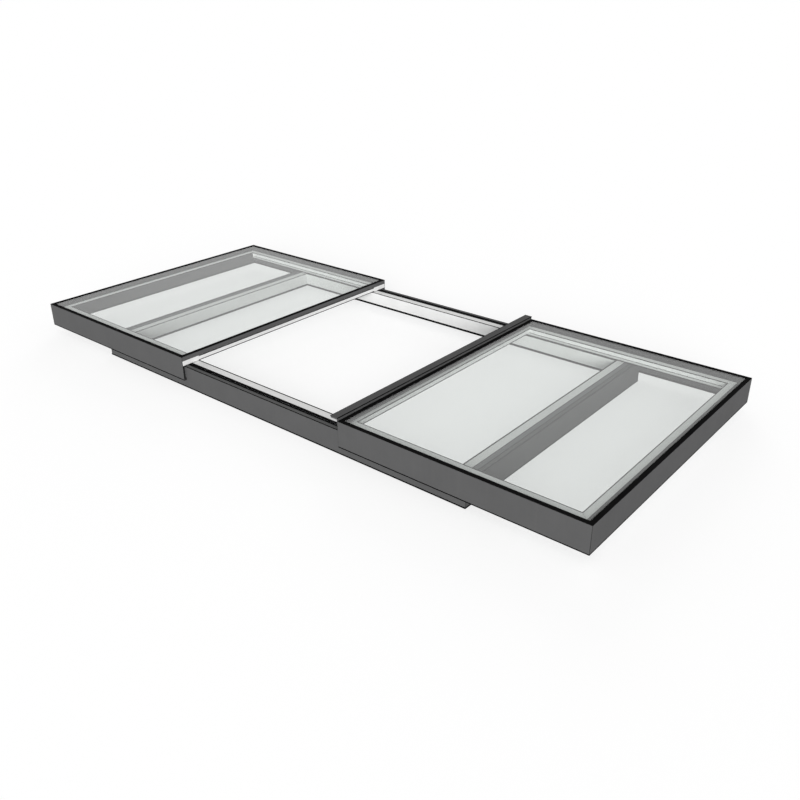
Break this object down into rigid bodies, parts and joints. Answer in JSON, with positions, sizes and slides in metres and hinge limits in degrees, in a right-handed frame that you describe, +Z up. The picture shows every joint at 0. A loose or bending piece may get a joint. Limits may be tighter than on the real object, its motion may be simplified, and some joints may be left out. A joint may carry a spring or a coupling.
{
  "type": "bi-parting sliding roof light on a kerb frame",
  "caption": "Flat sliding skylight: double-glazed lids with deep dark skirts run apart on a low kerb frame and open the roof between them.",
  "frame": {"origin": "centre of the plan outline with both lids open, at the foot of the outer skins", "axes": "+X along the tracks to the lid with the meeting flap, -Y the front long side seen in the picture, +Z up"},
  "size_m": [4.494, 2, 0.244],
  "materials": {
    "dark_paint": "satin powder coat, dark grey",
    "white_paint": "satin powder coat, white",
    "mill_aluminium": "mill finish",
    "zinc_steel": "zinc plated",
    "black_rubber": "matt",
    "grey_rubber": "matt",
    "brush": "bristle pile",
    "wheel_nylon": "turned",
    "spacer": "matt",
    "glass": "clear float"
  },
  "bodies": {
    "kerb_frame": {"front_skin": "dark_paint", "front_liner": "white_paint", "back_skin": "dark_paint", "back_liner": "white_paint", "left_end_skin": "dark_paint", "left_end_liner": "white_paint", "right_end_skin": "dark_paint", "right_end_liner": "white_paint", "front_track": "mill_aluminium", "back_track": "mill_aluminium", "left_end_rail": "mill_aluminium", "right_end_rail": "mill_aluminium", "brush_seals": "brush", "end_seals": "black_rubber"},
    "left_lid": {"left_lid_skirt_front": "dark_paint", "left_lid_skirt_back": "dark_paint", "left_lid_skirt_end": "dark_paint", "left_lid_frame_front": "white_paint", "left_lid_frame_back": "white_paint", "left_lid_frame_end": "white_paint", "left_lid_leading_stile": "white_paint", "left_lid_leading_cap": "dark_paint", "left_lid_edge_seal": "black_rubber", "left_lid_outer_pane": "glass", "left_lid_inner_pane": "glass", "left_lid_glass_spacer": "spacer", "left_lid_glazing_gasket": "grey_rubber", "left_lid_carriage_front": "zinc_steel", "left_lid_carriage_back": "zinc_steel", "left_lid_wheels": "wheel_nylon"},
    "right_lid": {"right_lid_skirt_front": "dark_paint", "right_lid_skirt_back": "dark_paint", "right_lid_skirt_end": "dark_paint", "right_lid_frame_front": "white_paint", "right_lid_frame_back": "white_paint", "right_lid_frame_end": "white_paint", "right_lid_leading_stile": "white_paint", "right_lid_leading_cap": "dark_paint", "right_lid_edge_seal": "black_rubber", "right_lid_outer_pane": "glass", "right_lid_inner_pane": "glass", "right_lid_glass_spacer": "spacer", "right_lid_glazing_gasket": "grey_rubber", "right_lid_carriage_front": "zinc_steel", "right_lid_carriage_back": "zinc_steel", "right_lid_wheels": "wheel_nylon", "right_lid_meeting_flap": "dark_paint", "right_lid_meeting_seals": "black_rubber"}
  },
  "joints": [
    {"name": "left_lid_slide", "type": "slide", "parent": "kerb_frame", "child": "left_lid", "axis": [1, 0, 0], "range_m": [0, 0.68]},
    {"name": "right_lid_slide", "type": "slide", "parent": "kerb_frame", "child": "right_lid", "axis": [-1, 0, 0], "range_m": [0, 0.68]}
  ]
}
